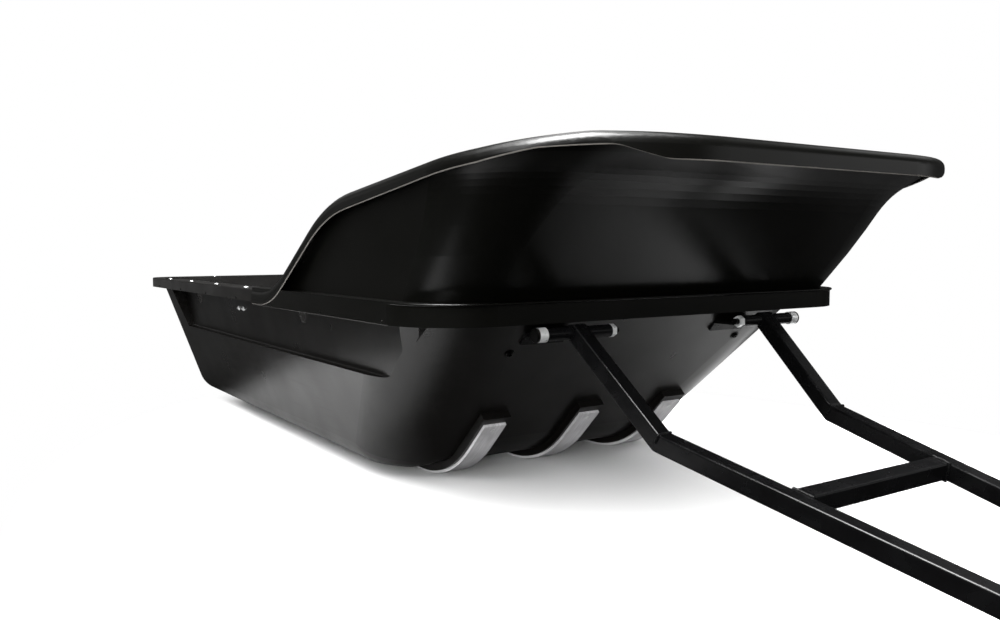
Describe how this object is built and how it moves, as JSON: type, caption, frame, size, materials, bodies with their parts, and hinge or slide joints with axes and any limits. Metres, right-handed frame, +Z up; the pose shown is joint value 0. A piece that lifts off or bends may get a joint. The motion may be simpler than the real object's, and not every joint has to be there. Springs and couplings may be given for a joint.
{
  "type": "snowmobile cargo sled",
  "caption": "Towed cargo sled: open plastic tub on runner strips, flared wind guard on the front of its rim, hinged square-tube drawbar with a tow pin eye.",
  "frame": {"origin": "middle of the overall length and width, on the floor it stands on", "axes": "+Y from the drawbar's nose to the rear rim, +X to the right when seen from the front, +Z up"},
  "size_m": [0.905, 2.5899, 0.5423],
  "materials": {
    "tub_plastic": "satin",
    "guard_plastic": "semi-gloss",
    "strip_plastic": "satin",
    "drawbar_paint": "gloss",
    "zinc_hardware": "satin"
  },
  "bodies": {
    "sled": {"tub": "tub_plastic", "wind_guard": "guard_plastic", "runner_strip_left": "strip_plastic", "runner_strip_centre": "strip_plastic", "runner_strip_right": "strip_plastic", "hinge_bracket_left": "drawbar_paint", "hinge_bracket_right": "drawbar_paint", "hinge_bolt_left": "zinc_hardware", "hinge_bolt_right": "zinc_hardware", "hinge_collar_left": "zinc_hardware", "hinge_collar_right": "zinc_hardware", "hinge_nut_left": "zinc_hardware", "hinge_nut_right": "zinc_hardware"},
    "drawbar": {"arm_left": "drawbar_paint", "arm_right": "drawbar_paint", "cross_bar": "drawbar_paint", "nose_bar": "drawbar_paint"}
  },
  "joints": [
    {"name": "drawbar_hinge", "type": "hinge", "parent": "sled", "child": "drawbar", "pos_m": [0, -0.38005, 0.288], "axis": [-1, 0, 0], "range_deg": [0, 60]}
  ]
}
